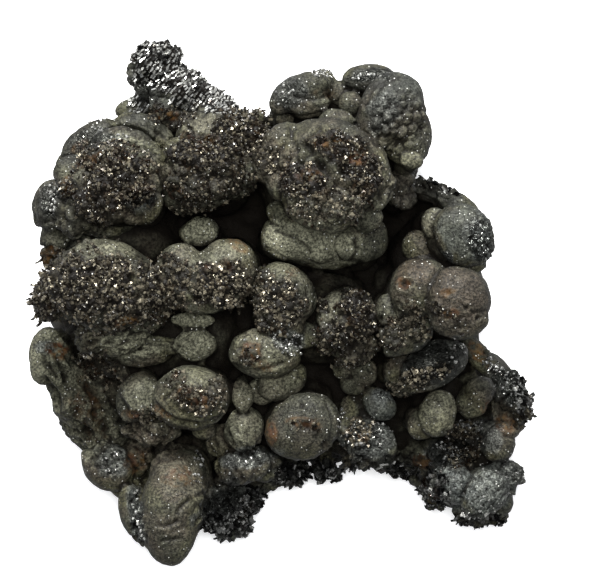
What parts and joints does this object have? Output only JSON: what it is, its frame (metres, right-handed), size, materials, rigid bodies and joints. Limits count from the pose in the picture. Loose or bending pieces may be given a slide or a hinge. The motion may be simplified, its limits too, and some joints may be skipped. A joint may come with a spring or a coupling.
{
  "type": "goethite specimen",
  "caption": "Botryoidal iron oxide mineral specimen: crowded rounded heads on lumpy stalks over one thick crust, with gritty crystal patches and a flat cut back.",
  "frame": {"origin": "on the flat cut back, under the middle of the specimen's box", "axes": "+Z out of the cut back towards the heads, +Y towards the shiny crest at the specimen's top, +X to the right as seen looking down on the heads"},
  "size_m": [0.1005, 0.1044, 0.0519],
  "materials": {
    "goethite": "velvety dark olive grey with gritty brown-black crystal patches and a few shiny facets"
  },
  "bodies": {
    "root": {"goethite_growth": "goethite"}
  },
  "joints": []
}
